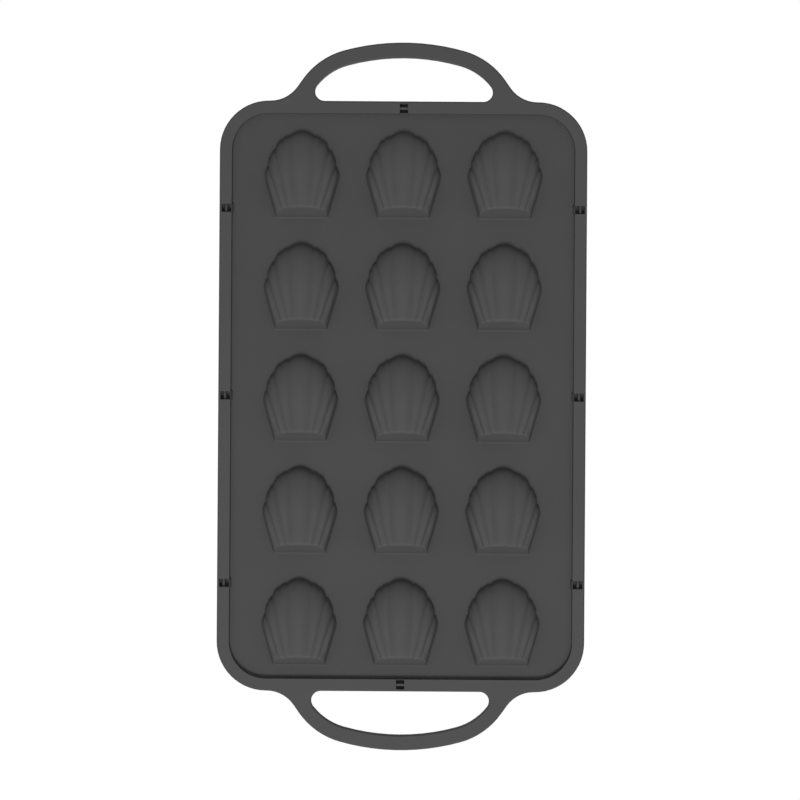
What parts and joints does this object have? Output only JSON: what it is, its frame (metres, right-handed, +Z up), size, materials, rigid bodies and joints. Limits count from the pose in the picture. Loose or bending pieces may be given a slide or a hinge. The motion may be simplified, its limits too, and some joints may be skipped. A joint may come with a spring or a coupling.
{
  "type": "madeleine pan",
  "caption": "Flexible baking pan with fluted shell cups, a steel ring moulded into its rim and a looped handle at each end.",
  "frame": {"origin": "centre of the pan in plan, at the height of the surface that the cups stand on", "axes": "+Z up with the cups open upward, +Y along the pan towards the fluted ends of the cups, X across it"},
  "size_m": [0.228, 0.439, 0.015],
  "materials": {
    "silicone": "matt moulded silicone, dark grey",
    "steel": "drawn round steel wire"
  },
  "bodies": {
    "root": {"silicone_moulding": "silicone", "rim_wire": "steel"}
  },
  "joints": []
}
